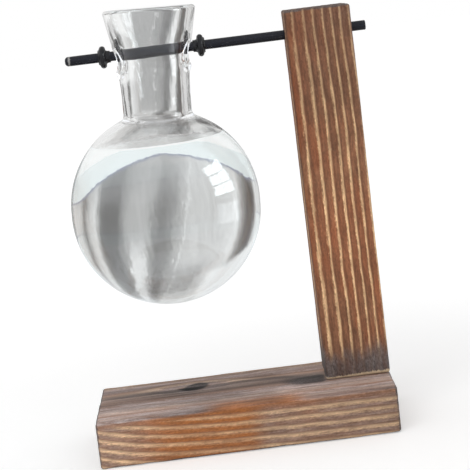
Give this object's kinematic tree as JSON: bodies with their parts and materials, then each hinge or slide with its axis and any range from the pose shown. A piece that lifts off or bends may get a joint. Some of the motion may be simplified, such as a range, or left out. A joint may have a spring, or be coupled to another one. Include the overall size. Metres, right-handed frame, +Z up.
{
  "type": "propagation vase",
  "caption": "Blown glass bulb vase hanging by its flared neck from a black rod on an L-shaped charred pine stand, for rooting cuttings in water.",
  "frame": {"origin": "middle of the base plank's underside, on the table", "axes": "+Z up, +X along the base towards the post, -Y is the front; the rod runs along X"},
  "size_m": [0.1321, 0.08, 0.1847],
  "materials": {
    "charred_pine": "charred, brushed and oiled",
    "black_steel": "satin black",
    "black_rubber": "matt",
    "clear_glass": "clear, blown",
    "zinc_steel": "zinc plated"
  },
  "bodies": {
    "stand": {"base_plank": "charred_pine", "upright_post": "charred_pine", "foot_screws": "zinc_steel"},
    "rod": {"hanging_rod": "black_steel"},
    "left_ring": {"stop_ring_left": "black_rubber"},
    "right_ring": {"stop_ring_right": "black_rubber"},
    "vase": {"glass_vase": "clear_glass"}
  },
  "joints": [
    {"name": "rod_slide", "type": "slide", "parent": "stand", "child": "rod", "axis": [1, 0, 0], "range_m": [-0.0335, 0.0175]},
    {"name": "left_ring_slide", "type": "slide", "parent": "rod", "child": "left_ring", "axis": [1, 0, 0], "range_m": [-0.018, 0.0008]},
    {"name": "right_ring_slide", "type": "slide", "parent": "rod", "child": "right_ring", "axis": [1, 0, 0], "range_m": [0, 0.0153]},
    {"name": "vase_swing", "type": "hinge", "parent": "rod", "child": "vase", "pos_m": [-0.02045, 0.006, 0.166], "axis": [1, 0, 0], "range_deg": [-58, 58]}
  ]
}
